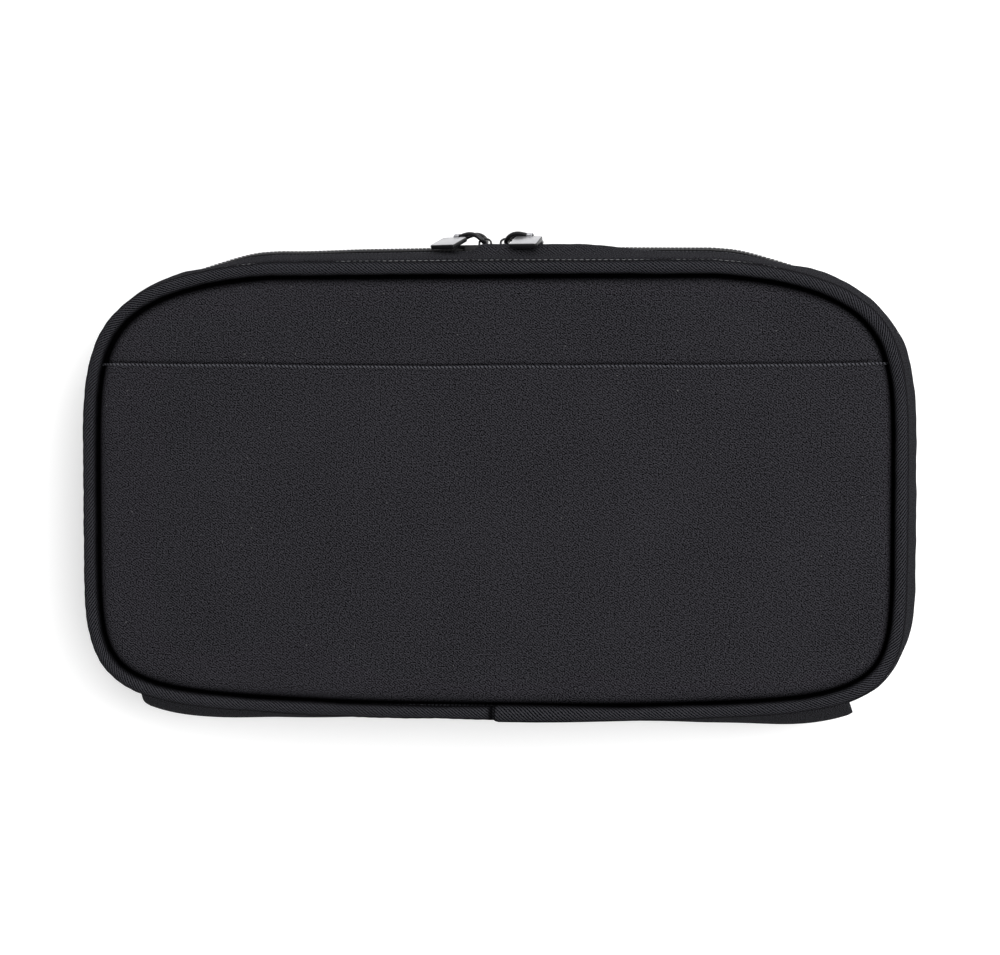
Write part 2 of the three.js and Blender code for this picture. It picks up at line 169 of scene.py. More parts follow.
SPINE_S = float(np.interp(SPINE_HALF, EDGE[: len(EDGE) // 4, 0], ALONG[: len(EDGE) // 4]))
WALL_S = (SPINE_S + 0.3, PERIMETER - SPINE_S - 0.3)


def level(depth, front):
    """The height of a depth that is measured from a tray's own panel."""
    return DEPTH - depth if front else depth


def wall_offset(depth):
    """How far out the side wall stands at a depth."""
    share = np.clip((np.asarray(depth, float) - WALL_START) / (MIDDLE - WALL_START), 0, None)
    return SEAM_OFFSET + BULGE * np.sin(np.minimum(share, 1.2) * np.pi / 2)


def wave(s, seed, longest=90.0, octaves=4, fall=0.55):
    """Smooth noise along the outline, which joins up with itself; about -1 to 1."""
    rng = np.random.default_rng(seed)
    total = np.zeros_like(np.asarray(s, float))
    size = 1.0
    turns = max(1, round(PERIMETER / longest))
    for _ in range(octaves):
        phase = rng.uniform(0, 2 * np.pi, 3)
        for k in range(3):
            total = total + size * np.sin(2 * np.pi * (turns + k) * s / PERIMETER + phase[k]) / 2.2
        size *= fall
        turns *= 2
    return total


def settle(points, tuck=CORNER_TUCK):
    """Lets points [..., xyz] swell out along the zipper and holds them in at the corners, both of
    them most at the middle of the depth."""
    points = np.array(points, float)
    x, y, z = (points[..., k].copy() for k in range(3))
    u, v = np.abs(x) / HALF_W, np.abs(y) / HALF_H
    corner = smooth((u * v - CORNER_FROM) / (CORNER_TO - CORNER_FROM))
    along = smooth((y - SWELL_FROM) / (SWELL_TO - SWELL_FROM)) * (1 - corner)
    power = np.where(y > 0, TOP_POWER, SPINE_POWER) - 1
    normal = np.stack([np.sign(x) * u**power / HALF_W, np.sign(y) * v**power / HALF_H], -1)
    normal /= np.linalg.norm(normal, axis=-1, keepdims=True) + 1e-12
    inside = np.clip((z - TUCK_MARGIN) / (DEPTH - 2 * TUCK_MARGIN), 0, 1)
    points[..., :2] -= normal * (tuck * corner * np.sin(np.pi * inside))[..., None]
    bow = ZIPPER_SWELL + 0.5 * bell(x, 8, 38) - 0.45 * smooth((22 - np.abs(x + 60)) / 22)
    points[..., 1] += bow * along * np.sin(np.pi * z / DEPTH)
    return points


SPINE_SAG = 1.4  # how far the face and its piping bow out over the middle of the spine


def sagged(points):
    """Bows points [..., xyz] out over the middle of the spine."""
    points = np.array(points, float)
    x, y = points[..., 0], points[..., 1]
    points[..., 1] = y - SPINE_SAG * np.exp(-((x / 62) ** 4)) * smooth((-y - 25) / 40)
    return points


# ---- meshes
def added(name, data):
    ob = bpy.data.objects.new(name, data)
    bpy.context.scene.collection.objects.link(ob)
    return ob


def make(name, verts, faces, material, uvs=None, shade=True, axes=(0, 1)):
    """A mesh object from points in millimetres. Each face corner has a UV pair, in metres, and where
    none is given it is two of the point's own coordinates."""
    verts = np.asarray(verts, float)
    if uvs is None:
        uvs = verts[np.concatenate([np.asarray(f, int) for f in faces])][:, list(axes)]
    me = bpy.data.meshes.new(name)
    me.from_pydata((verts * MM).tolist(), [], [list(map(int, f)) for f in faces])
    layer = me.uv_layers.new(name="weave")
    layer.data.foreach_set("uv", (np.asarray(uvs, float) * MM).astype(np.float32).ravel())
    me.materials.append(material)
    me.validate()
    if shade:
        me.polygons.foreach_set("use_smooth", [True] * len(me.polygons))
    me.update()
    return added(name, me)


def shaded(ob, seam):
    """Stores each point's share of painted shade, which the cloth's material mixes towards near-black."""
    ob.data.attributes.new("seam", "FLOAT", "POINT").data.foreach_set("value", np.asarray(seam, np.float32))
    return ob


def quads(rows, cols, wrap_rows=False):
    """The faces between rows of points whose columns run all the way round."""
    i, j = np.meshgrid(np.arange(rows if wrap_rows else rows - 1), np.arange(cols), indexing="ij")
    i, j = i.ravel(), j.ravel()
    i2, j2 = (i + 1) % rows, (j + 1) % cols
    return np.stack([i * cols + j, i2 * cols + j, i2 * cols + j2, i * cols + j2], 1), i, j


def loft(name, grid, u, v, material, wrap_rows=False, flip=False):
    """A closed surface through a grid of points [row, column]. u is the length at each row and v at
    each column, and a direction that runs all the way round has one value more."""
    rows, cols = grid.shape[:2]
    f, i, j = quads(rows, cols, wrap_rows)
    uv = np.stack([np.stack([u[i + a], v[j + b]], 1) for a, b in ((0, 0), (1, 0), (1, 1), (0, 1))], 1)
    step = -1 if flip else 1
    faces = f[:, ::step].tolist()
    uvs = uv[:, ::step].reshape(-1, 2).tolist()
    if not wrap_rows:
        for row, forward in ((0, not flip), (rows - 1, flip)):
            order = range(cols) if forward else range(cols - 1, -1, -1)
            faces.append([row * cols + k for k in order])
            uvs += [[u[row], v[k]] for k in order]
    return make(name, grid.reshape(-1, 3), faces, material, uvs)


def sweep(
    name, s, section, material, front, closed=False, shift=(0, 0), tuck=CORNER_TUCK, sag=False, seam=None
):
    """Sweeps a closed section of [offset, depth] points along the outline at lengths s. shift moves
    the two, each by a number or by an array [row, column], and seam is the share of painted
    shade at each point of the section."""
    section = np.asarray(section, float)
    shape = (len(s), len(section))
    offset, depth = (np.broadcast_to(section[:, k] + shift[k], shape)[..., None] for k in (0, 1))
    p, n = edge_at(s)
    grid = settle(np.concatenate([p[:, None] + n[:, None] * offset, level(depth, front)], 2), tuck)
    if sag:
        grid = sagged(grid)
    u = np.append(s, s[0] + PERIMETER) if closed else s
    ob = loft(name, grid, u, lengths(section, closed=True), material, closed, flip=front)
    if seam is not None:
        shaded(ob, np.broadcast_to(seam, shape).ravel())
    return ob


def tube(name, points, radius, material, sides):
    """A closed loop of round wire through points."""
    n = len(points)
    tangent = unit(np.roll(points, -1, 0) - np.roll(points, 1, 0))
    side = unit(np.cross(tangent[0], [0.13, 0.27, 0.95]))
    frames = []
    for t in tangent:
        side = unit(side - t * np.dot(side, t))
        frames.append((side, np.cross(t, side)))
    last, first = frames[-1], frames[0]
    twist = math.atan2(np.dot(first[0], last[1]), np.dot(first[0], last[0]))
    angles = circle(sides) + twist * np.arange(n)[:, None] / n  # the twist left over is spread out
    across, over = (np.array([f[k] for f in frames])[:, None] for k in (0, 1))
    ring = np.cos(angles)[..., None] * across + np.sin(angles)[..., None] * over
    v = np.linspace(0, 2 * np.pi * radius, sides + 1)
    u = lengths(points, closed=True)
    return loft(name, points[:, None] + radius * ring, u, v, material, wrap_rows=True, flip=True)


def capsule(sides=6, rings=4):
    """A unit bead along X, from -1 to 1, with radius 1, to be scaled into stitches and teeth."""
    a, q = np.pi * np.arange(1, rings)[:, None] / rings, circle(sides)
    r = np.sin(a) ** 0.45
    middle = stacked(-np.cos(a), r * np.cos(q), r * np.sin(q)).reshape(-1, 3)
    faces = []
    for m in range(sides):
        after = (m + 1) % sides
        faces.append([0, 1 + after, 1 + m])
        for row in range(1, 1 + (rings - 2) * sides, sides):
            faces.append([row + m, row + after, row + after + sides, row + m + sides])
        top = 1 + (rings - 2) * sides
        faces.append([top + m, top + after, len(middle) + 1])
    return np.vstack([[-1, 0, 0], middle, [1, 0, 0]]), faces


def beads(name, centres, along, up, sizes, material, template=None):
    """Many small beads in one mesh: centre, long direction, up direction and half-sizes of each."""
    verts, faces = template or capsule()
    centres = np.asarray(centres, float)
    along, up, sizes = (np.broadcast_to(np.asarray(k, float), centres.shape) for k in (along, up, sizes))
    along = unit(along)
    up = unit(up - along * (up * along).sum(1)[:, None])
    axes = np.stack([along, np.cross(along, up), up], 1)
    world = centres[:, None] + np.einsum("vk,nk,nkx->nvx", verts, sizes, axes)
    everything = [[k * len(verts) + v for v in f] for k in range(len(centres)) for f in faces]
    return make(name, world.reshape(-1, 3), everything, material)


def edited(ob, change):
    """Runs change on an object's mesh."""
    bm = bmesh.new()
    bm.from_mesh(ob.data)
    change(bm)
    bm.to_mesh(ob.data)
    bm.free()
    return ob


def outward(bm):
    bmesh.ops.recalc_face_normals(bm, faces=bm.faces)


def split_along(bm, y, clear=False):
    """Cuts a sheet along a line across it, and with clear drops what lies beyond."""
    geom = bm.verts[:] + bm.edges[:] + bm.faces[:]
    line = dict(plane_co=(0, y * MM, 0), plane_no=(0, 1, 0))
    bmesh.ops.bisect_plane(bm, geom=geom, dist=1e-6, clear_outer=clear, **line)


def modified(ob, kind, **settings):
    """Adds a modifier."""
    m = ob.modifiers.new(kind.lower(), kind)
    for key, value in settings.items():
        setattr(m, key, value)
    return m


def applied(ob, kind, **settings):
    """Adds a modifier and applies it."""
    m = modified(ob, kind, **settings)
    bpy.context.view_layer.objects.active = ob
    ob.select_set(True)
    bpy.ops.object.modifier_apply(modifier=m.name)
    ob.select_set(False)
    return ob


# ---- materials
def shader(name, **sockets):
    mat = bpy.data.materials.new(name)
    mat.use_nodes = True
    bsdf = mat.node_tree.nodes["Principled BSDF"]
    for key, value in sockets.items():
        bsdf.inputs[key.replace("_", " ")].default_value = value
    return mat, mat.node_tree, bsdf


def node(tree, kind, **values):
    n = tree.nodes.new(kind)
    for key, value in values.items():
        if hasattr(n, key):
            setattr(n, key, value)
        else:
            n.inputs[key.replace("_", " ")].default_value = value
    return n


def maths(tree, operation, *values, clamp=False):
    n = node(tree, "ShaderNodeMath", operation=operation, use_clamp=clamp)
    for k, value in enumerate(values):
        if isinstance(value, (int, float)):
            n.inputs[k].default_value = value
        else:
            tree.links.new(value, n.inputs[k])
    return n.outputs[0]


def mixed(tree, share, a, b):
    n = node(tree, "ShaderNodeMix", data_type="RGBA")
    for name, kind, value in (("Factor", "VALUE", share), ("A", "RGBA", a), ("B", "RGBA", b)):
        socket = next(s for s in n.inputs if s.name == name and s.type == kind)
        if isinstance(value, tuple):
            socket.default_value = (*value, 1)
        else:
            tree.links.new(value, socket)
    return next(s for s in n.outputs if s.type == "RGBA")


def noise(tree, vector, scale, detail=3.0, rough=0.5):
    n = node(tree, "ShaderNodeTexNoise", Scale=scale, Detail=detail, Roughness=rough)
    tree.links.new(vector, n.inputs["Vector"])
    return n.outputs[0]


def weave_uv(tree):
    uv = node(tree, "ShaderNodeUVMap", uv_map="weave")
    split = node(tree, "ShaderNodeSeparateXYZ")
    tree.links.new(uv.outputs[0], split.inputs[0])
    return uv.outputs[0], split.outputs[0], split.outputs[1]


def raised(tree, bsdf, height, strength, distance=0.00018):
    """Feeds a height into a material's bump."""
    bump = node(tree, "ShaderNodeBump", Strength=strength, Distance=distance)
    tree.links.new(height, bump.inputs["Height"])
    tree.links.new(bump.outputs[0], bsdf.inputs["Normal"])


def sine(tree, length, pitch):
    """A sine along a length, with its pitch in millimetres."""
    return maths(tree, "SINE", maths(tree, "MULTIPLY", length, 2 * math.pi / (pitch * MM)))


def halved(tree, value):
    """Brings a value from -1..1 to 0..1."""
    return maths(tree, "MULTIPLY_ADD", value, 0.5, 0.5)


def times(tree, a, b):
    return maths(tree, "MULTIPLY", a, b)


def plus(tree, a, b, c):
    """a times b, plus c."""
    return maths(tree, "MULTIPLY_ADD", a, b, c)


def contrast(tree, value, gain):
    """Spreads a value that gathers round its middle, and keeps it from 0 to 1."""
    return maths(tree, "MULTIPLY_ADD", value, gain, 0.5 - gain / 2, clamp=True)


# Painted shade: the near-black mixed into the cloth in grooves, in creases and on the piping's shaded
# sides.
SEAM_SHADE = (0.0006, 0.0006, 0.0007)


def twill(name, dark, light, rib, angle, bump=0.8, yarn=0.6, lint=0.0):
    """Twill: diagonal ribs of the given width in millimetres, each rib broken into yarn floats."""
    mat, tree, bsdf = shader(name, Roughness=0.8, IOR=1.03)
    uv, u, v = weave_uv(tree)
    a = math.radians(angle)
    k = 2 * math.pi / (rib * MM)
    drift = times(tree, noise(tree, uv, 60, 2), 2.2)
    across = times(tree, u, k * math.cos(a))
    across = plus(tree, v, k * math.sin(a), across)
    across = maths(tree, "ADD", across, drift)
    ribs = halved(tree, maths(tree, "SINE", across))
    along = plus(tree, u, k * 1.42, times(tree, across, 0.5))
    floats = halved(tree, maths(tree, "SINE", along))
    fuzz = contrast(tree, noise(tree, uv, 2700, 2, 0.75), 5.2)
    height = plus(tree, floats, 0.3, times(tree, ribs, 0.75))
    raised(tree, bsdf, plus(tree, fuzz, 0.4, height), bump)
    cloud = contrast(tree, noise(tree, uv, 30, 4, 0.55), 1.6)
    share = times(tree, fuzz, yarn)
    share = plus(tree, ribs, 0.93 - yarn, share)
    share = plus(tree, cloud, 0.07, share)
    share = contrast(tree, share, 2.8)
    colour = mixed(tree, share, dark, light)
    if lint:
        speck = noise(tree, uv, 900, 1, 0.3)
        speck = times(tree, maths(tree, "GREATER_THAN", speck, 0.80), lint)
        colour = mixed(tree, speck, colour, (0.12, 0.12, 0.12))
    # Painted shade: the colour goes towards near-black where the point attribute marks painted shade.
    seam = node(tree, "ShaderNodeAttribute", attribute_name="seam")
    colour = mixed(tree, seam.outputs["Fac"], colour, SEAM_SHADE)
    tree.links.new(colour, bsdf.inputs["Base Color"])
    return mat


def woven(name, rough, sheen):
    """What plain weave and knitted tape have in common."""
    made = shader(name, Roughness=rough, Sheen_Weight=sheen, Sheen_Roughness=0.4, Specular_IOR_Level=0.35)
    return *made, *weave_uv(made[1])


def plain_weave(name, dark, light, pitch):
    """Plain weave: threads over and under on a square grid, in millimetres."""
    mat, tree, bsdf, uv, u, v = woven(name, 0.6, 0.2)
    height = halved(tree, times(tree, sine(tree, u, pitch), sine(tree, v, pitch)))
    height = plus(tree, noise(tree, uv, 2000, 3, 0.6), 0.4, height)
    raised(tree, bsdf, height, 0.4, 0.00012)
    share = times(tree, height, 0.4)
    share = plus(tree, noise(tree, uv, 30, 4, 0.55), 0.55, share)
    tree.links.new(mixed(tree, share, dark, light), bsdf.inputs["Base Color"])
    return mat


def ribbed(name, dark, light, pitch, rough=0.7, sheen=0.2):
    """Knitted tape or elastic: raised ribs along U, crossed by fine courses."""
    mat, tree, bsdf, uv, u, v = woven(name, rough, sheen)
    courses = halved(tree, sine(tree, u, 0.55))
    height = plus(tree, courses, 0.45, halved(tree, sine(tree, v, pitch)))
    fuzz = noise(tree, uv, 2200, 3, 0.6)
    raised(tree, bsdf, plus(tree, fuzz, 0.4, height), 0.6)
    share = times(tree, height, 0.5)
    tree.links.new(mixed(tree, share, dark, light), bsdf.inputs["Base Color"])
    return mat


def plain(name, dark, light, rough=0.5, metallic=0.0, scale=900, bump=0.15, scratch=0.0, gloss=0.5):
    """Thread, nylon, foam and metal: a fine grain, and brushing or wear where there is any."""
    mat, tree, bsdf = shader(name, Roughness=rough, Metallic=metallic, Specular_IOR_Level=gloss)
    vector = node(tree, "ShaderNodeTexCoord").outputs["Object"]
    grain = noise(tree, vector, scale, 4, 0.6)
    wear = noise(tree, vector, scale * 0.12, 5, 0.65)
    raised(tree, bsdf, grain, bump, 0.00005)
    share = plus(tree, grain, 0.5, times(tree, wear, 0.5))
    tree.links.new(mixed(tree, share, dark, light), bsdf.inputs["Base Color"])
    if scratch:
        worn = plus(tree, wear, scratch, rough - scratch / 2)
        tree.links.new(worn, bsdf.inputs["Roughness"])
    return mat


BLACK = (0.0004, 0.0004, 0.0005)
DARK_TAPE = (0.006, 0.006, 0.007)
M = {
    "face": twill("face_twill", BLACK, (0.038, 0.037, 0.043), 0.62, 52, yarn=0.66, lint=0.5, bump=0.5),
    "wall": twill("wall_twill", BLACK, (0.036, 0.036, 0.041), 0.9, -40),
    # Painted highlight: the hem folds' twill is lighter than the wall's, for the light along the folds.
    "hem": twill("hem_twill_painted_highlight", (0.003, 0.003, 0.004), (0.08, 0.08, 0.09), 0.9, 40, yarn=0.35),
    "bias": twill("bias_twill", BLACK, (0.040, 0.040, 0.046), 0.72, -52, yarn=0.42),
    "lining": plain_weave("lining_cloth", (0.030, 0.031, 0.034), (0.075, 0.077, 0.084), pitch=0.45),
    "binding": ribbed("binding_tape", DARK_TAPE, (0.028, 0.028, 0.031), pitch=1.1),
    "tape": ribbed("zipper_tape", DARK_TAPE, (0.030, 0.030, 0.033), pitch=0.7, rough=0.75),
    "elastic": ribbed("elastic_web", DARK_TAPE, (0.036, 0.036, 0.040), pitch=1.5, sheen=0.25),
    "net": plain("net_cord", (0.010, 0.010, 0.011), (0.035, 0.035, 0.039), rough=0.6, scale=2500),
    "coil": plain("nylon_coil", (0.003, 0.003, 0.0035), (0.011, 0.011, 0.012), rough=0.45, scale=1500),
    "thread": plain("sewing_thread", (0.030, 0.030, 0.033), (0.16, 0.16, 0.17), scale=3000),
    "topstitch": plain("topstitch_thread", (0.06, 0.06, 0.065), (0.22, 0.22, 0.23), rough=0.45, scale=3000),
    "foam": plain("foam_board", (0.018, 0.018, 0.019), (0.035, 0.035, 0.037), 0.95, scale=1800, bump=0.5),
    "gunmetal": plain(
        "black_plating", (0.002, 0.002, 0.0025), (0.008, 0.008, 0.009), rough=0.36, scratch=0.12, gloss=0.3
    ),
    "silver": plain(
        "silver_plate", (0.27, 0.27, 0.285), (0.44, 0.44, 0.455), rough=0.3, metallic=1.0, scratch=0.2
    ),
}


def put(ob, body, slot, replaces=()):
    """Lets a piece ride on a body, or, where body is "hinge", bakes its transform into its mesh and leaves
    it without a body.
    """
    if body == "hinge":
        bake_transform(ob)
    else:
        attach(ob, body)
    if replaces:
        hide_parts(*replaces)


# ---- stitches
STITCH = (0.95, 0.2, 0.13)  # half length, half width and half height of one stitch


def on_surface(at, offset, depth, front):
    """Points on a swept surface, with the directions along it and out of it."""
    p, n = edge_at(at, offset)
    along = raised_to(np.column_stack([-n[:, 1], n[:, 0]]))
    return settle(raised_to(p, level(depth, front))), along, raised_to(n)


def stitch_line(front, name, s, offset, depth, pitch, slot, size=STITCH, material="thread"):
    """A row of stitches lying on a swept surface, at an offset and a depth."""
    side, body = SIDES[front]
    at = np.arange(s[0] + pitch / 2, s[1], pitch)
    put(beads(f"{side}_{name}", *on_surface(at, offset, depth, front), size, M[material]), body, slot)


# ---- the face and its slip pocket
def panel_rings(top, edge_depth, dip, crown, seed, ripple=0.12, edge_offset=-3.3):
    """Rings of points from the tucked edge to the middle. top is the height of the flat part."""
    s = all_round(480)
    insets = np.r_[np.linspace(0, 3, 13), np.linspace(3.6, 9, 10), np.linspace(10, 12.5, 3)]
    outer = [edge_at(s, edge_offset - inset)[0] for inset in insets]
    share = np.linspace(1, 0.02, 46)[1:]
    xy = np.array(outer + [outer[-1] * k for k in share])
    inset = np.broadcast_to(np.append(insets, insets[-1] + (1 - share) * 52)[:, None], xy.shape[:2])
    rise = 1 - np.exp(-((inset / dip) ** 1.3))
    rng = np.random.default_rng(seed)
    z = top - edge_depth * (1 - rise) + crown * smooth(inset / 55)
    for _ in range(14):
        k = rng.normal(0, 1, 2) / rng.uniform(16, 46)
        z = z + ripple / 3 * np.sin(xy @ k + rng.uniform(0, 6.28)) * smooth((inset - 1) / 12)
    # The second value is painted shade, darkest at the tucked edge in the groove beside the piping.
    return sagged(np.concatenate([xy, z[..., None]], 2)), bell(inset, 0, 1.05)


def sheet_from_rings(name, grid, material, thickness, up=True, seam=None, change=None):
    """A sheet of cloth through a panel's rings, thickened behind the face that shows."""
    rows, cols = grid.shape[:2]
    step = 1 if up else -1
    faces = quads(rows, cols)[0][:, ::step].tolist()
    faces.append(list(range(rows * cols - 1, (rows - 1) * cols - 1, -1))[::step])
    ob = make(name, grid.reshape(-1, 3), faces, material)
    if seam is not None:
        shaded(ob, seam.ravel())

    def facing(bm):
        outward(bm)
        if (max(bm.faces, key=lambda q: q.calc_area()).normal.z > 0) != up:
            bmesh.ops.reverse_faces(bm, faces=bm.faces)

    edited(ob, facing)
    if change:
        edited(ob, change)
    return applied(ob, "SOLIDIFY", thickness=thickness * MM, offset=-1, use_even_offset=False)


def mouth_y(x):
    """The pocket's mouth, which sags a little between its ends."""
    x = np.asarray(x, float)
    return POCKET_Y + 0.9 * (x / 118) ** 2 - 0.35 + 0.10 * np.sin(x / 17.0) + 0.06 * np.sin(x / 6.1 + 1)


def face_height(grid, xy):
    """Height of a panel's grid of points at each xy, by its nearest points."""
    flat = grid.reshape(-1, 3)
    out = np.empty(len(xy))
    for k, q in enumerate(xy):
        d = ((flat[:, :2] - q) ** 2).sum(1)
        near = np.argpartition(d, 6)[:6]
        w = 1 / (d[near] + 0.05)
        out[k] = (flat[near, 2] * w).sum() / w.sum()
    return out


def shift_mouth(bm, sign):
    """Bends a sheet to the sag of the pocket's mouth, or back."""
    for v in bm.verts:
        v.co.y += sign * float(mouth_y(v.co.x / MM) - POCKET_Y) * MM


def hollow(bm):
    """Presses a narrow hollow into a sheet just beyond the pocket's mouth."""
    shift_mouth(bm, -1)
    for beyond in (-1.0, -0.2, 0.2, 0.45, 0.7, 0.95, 1.3, 2.0):
        split_along(bm, POCKET_Y + beyond)
    for v in bm.verts:
        beyond = v.co.y / MM - POCKET_Y
        v.co.z -= 0.9 * bell(beyond, 0.45, 0.4) * MM
    shift_mouth(bm, 1)


def trim(bm):
    """Cuts a sheet off at the pocket's mouth."""
    shift_mouth(bm, -1)
    split_along(bm, POCKET_Y, clear=True)
    shift_mouth(bm, 1)


def front_face():
    grid, seam = panel_rings(top=49.0, edge_depth=3.6, dip=1.5, crown=0.5, seed=3, edge_offset=-4.7)
    ob = sheet_from_rings("front_panel_cloth", grid, M["face"], 0.8, seam=seam, change=hollow)
    put(ob, "lid", "twill", ["front_panel"])

    pocket, seam = panel_rings(top=49.9, edge_depth=3.9, dip=1.4, crown=0.55, seed=3, edge_offset=-4.6)
    pocket[..., 2] += 0.05
    ob = sheet_from_rings("pocket_cloth", pocket, M["face"], 0.7, seam=seam, change=trim)
    put(ob, "lid", "twill", ["front_pocket_panel"])

    # The hem: the cloth folded back on itself at the mouth, a soft roll across the face, in the lighter hem
    # twill that paints a highlight along it.
    reach, _ = edge_at(np.linspace(0, PERIMETER, 6000), -4.0)
    side = reach[(reach[:, 0] > 0) & (abs(reach[:, 1] - POCKET_Y) < 0.6)][:, 0].max()
    xs = np.linspace(-side, side, 420)
    ys = mouth_y(xs)
    zs = face_height(pocket, np.column_stack([xs, ys])) + 0.06 * smooth((side - np.abs(xs)) / 5)
    lower = [[0.26, 0.04], [0.30, -0.2], [0.2, -0.6], [-0.2, -0.7], [-0.42, -0.6]]
    hem = np.array(lower + [[-0.46, -0.08], [-0.3, 0.06], [-0.1, 0.14], [0.1, 0.14]])
    rows = stacked(xs[:, None], ys[:, None] + hem[:, 0], zs[:, None] + hem[:, 1])
    ob = loft("pocket_hem", rows, xs, lengths(hem, closed=True), M["hem"], flip=True)
    put(ob, "lid", "twill")


# ---- rings round each tray
def ring(front, name, s, section, cloth, slot, nodes=(), **options):
    """A piece swept along a tray, which rides on it and stands for some of its nodes."""
    side, body = SIDES[front]
    ob = sweep(f"{side}_{name}", s, section, M[cloth], front, **options)
    put(ob, body, slot, [f"{side}_{n}" for n in nodes])


def swollen(swell, count):
    """The shift that swells a round section by a different amount at each length."""
    q = circle(count)
    return np.outer(swell, np.cos(q)), np.outer(swell, np.sin(q))


def piping(front):
    around = 20
    s = all_round(900)
    section = rounded(around, PIPING_R, PIPING_R, at=(-PIPING_R, PIPING_DEPTH))
    shift = swollen(0.07 * wave(s, 11 + front, 60, 5, 0.8), around)
    # Painted shade towards both sides of the cord, where its roundness turns away from the light.
    shade = 0.85 * smooth((np.abs(np.cos(circle(around))) - 0.62) / 0.36)
    # Painted shade on the cord just before the lapped end's step.
    shade_under_lap = bell(s, 0.6, 1.1)[:, None]
    seam = np.maximum(shade, shade_under_lap)
    looks = dict(cloth="bias", slot="piping", sag=True)
    whole = dict(nodes=["piping"], closed=True, tuck=0)
    ring(front, "piping_cord", s, section, shift=shift, seam=seam, **whole, **looks)

    # Where the piping's two ends meet, one cover is turned under and lapped over the other.
    s = np.r_[np.linspace(1.5, 3, 12), np.linspace(3.5, 46, 80)]
    end = np.sqrt(np.clip((s - 1.45) / 1.3, 0, 1)) * smooth((47 - s) / 36)
    section = section + [0.1, 0]
    # Painted shade across the step where the lapped end begins.
    lap_step_shade = (s < 1.8)[:, None] * 0.9
    seam = np.maximum(shade, lap_step_shade)
    ring(front, "piping_lap", s, section, shift=swollen(0.02 + 0.6 * end, around), seam=seam, **looks)

    # The flange of the piping's cover, sewn down against the side wall, and the seam allowance under
    # the groove between the piping and the panel, which is painted all in shade.
    flange = [[-1.5, 3.6], [-0.62, 4.35], [-0.52, 4.75], [-0.58, 5.2], [-1.3, 5.3], [-2.2, 4.6]]
    allowance = [[-2.4, 4.5], [-3.4, 4.35], [-6.6, 4.3], [-6.6, 4.6], [-2.6, 4.9]]
    s = all_round(480)
    ring(front, "piping_flange", s, flange, "binding", "piping", closed=True, sag=True)
    ring(front, "seam_allowance", s, allowance, "wall", "piping", closed=True, sag=True, seam=1.0)


def band(outer, depth, thickness):
    """The closed section of a sheet that has these offsets at these depths."""
    return np.column_stack([np.append(outer, outer[::-1] - thickness), np.append(depth, depth[::-1])])


def puckers(s, depth):
    """How far the sewn wall swells and gathers: slow swells, and small gathers by the zipper."""
    slow = wave(s, 21, 120, 3)[:, None]
    fine = wave(s, 22, 15, 3, 0.7)[:, None]
    share = (np.asarray(depth) - WALL_START) / (MIDDLE - WALL_START)
    middle = np.sin(np.clip(share, 0, 1) * np.pi)
    return 0.18 * slow * middle + 0.05 * fine * smooth((share - 0.2) / 0.6)


HEM_DROP = 1.6  # how far the wall's hem lies below the coil along the straight run
STAND = 2.3  # how far it stands up by the right slider


def hem_drop(s, depth):
    """How far the hem lies lower at each length and depth."""
    facing = edge_at(s)[1][:, 1]
    return HEM_DROP * np.outer(smooth((facing - 0.955) / 0.04), smooth((np.asarray(depth) - 7) / 12))


def side_wall(front):
    s = np.linspace(*WALL_S, 760)
    depth = np.r_[4.3, 4.75, 5.2, 5.8, 6.6, 7.2, 7.5, np.linspace(7.8, 18.2, 9), 18.8, 19.2, 19.42, 19.45]
    top = wall_offset(depth)
    top[:3] += [-0.75, -0.28, -0.06]
    top[3:6] += [0.10, 0.16, 0.12]
    top[-7:] += np.array([0.12, 0.22, 0.34, 0.40, 0.34, 0.14, -0.18])
    inner_depth = np.array([19.2, 18.6, 16.0, 12.0, 8.0, 4.6])
    inner = wall_offset(inner_depth) - np.array([0.95, 1.05, 1.0, 1.0, 1.0, 1.0])
    inner[0] += 0.2
    top[5:8] += [-0.06, -0.3, -0.05]
    # Painted shade in the crease pressed by the stitches and against the piping's groove.
    crease_shade = 0.9 * bell(depth, 7.5, 0.25) + bell(depth, 4.3, 0.9)
    section = np.column_stack([np.r_[top, inner], np.r_[depth, inner_depth]])
    bulge = puckers(s, section[:, 1])
    if front:  # the cloth stands up by the right slider
        x, y = edge_at(s)[0].T
        lift = smooth((x + 8) / 5) * smooth((52 - x) / 28) * (y > 0)
        bulge = bulge + STAND * lift[:, None] * smooth((section[:, 1] - 11) / 7)
    thin = np.zeros((len(s), len(section)))
    thin[:, : len(depth)] = bulge[:, : len(depth)]
    thin[:, len(depth) :] = np.minimum(bulge[:, len(depth) :], 0.3)
    thin -= hem_drop(s, section[:, 1])
    seam = np.r_[np.minimum(crease_shade, 1), np.zeros(len(inner))]
    ring(front, "wall_cloth", s, section, "wall", "twill", ["gusset"], shift=(thin, 0), seam=seam)
    offset, size = float(wall_offset(6.4)) + 0.18, (0.6, 0.17, 0.12)
    stitch_line(front, "wall_stitches", WALL_S, offset, 6.4, 1.8, "twill", size, "topstitch")
    # The fold of the hem beside the zipper, a soft roll that catches the light; its lighter hem twill is a
    # painted highlight.
    section = rounded(10, 0.36, 0.3, at=(float(wall_offset(19.2)) + 0.1, 19.25))
    follow = puckers(s, section[:, 1]) - hem_drop(s, section[:, 1])
    if front:
        follow = follow + STAND * lift[:, None]
    ring(front, "hem_fold", s, section, "hem", "twill", shift=(follow, 0))

    depth = np.linspace(4.8, 19.3, 9)
    section = band(wall_offset(depth) - 2.8, depth, 0.8)
    s = np.linspace(*WALL_S, 420)
    slack = 0.22 * wave(s, 31 + front, 40, 4)[:, None] * np.sin(np.linspace(0, np.pi, len(section)))
    shift = (-np.abs(slack), 0)
    ring(front, "wall_lining", s, section, "lining", "lining", ["gusset_lining"], shift=shift)


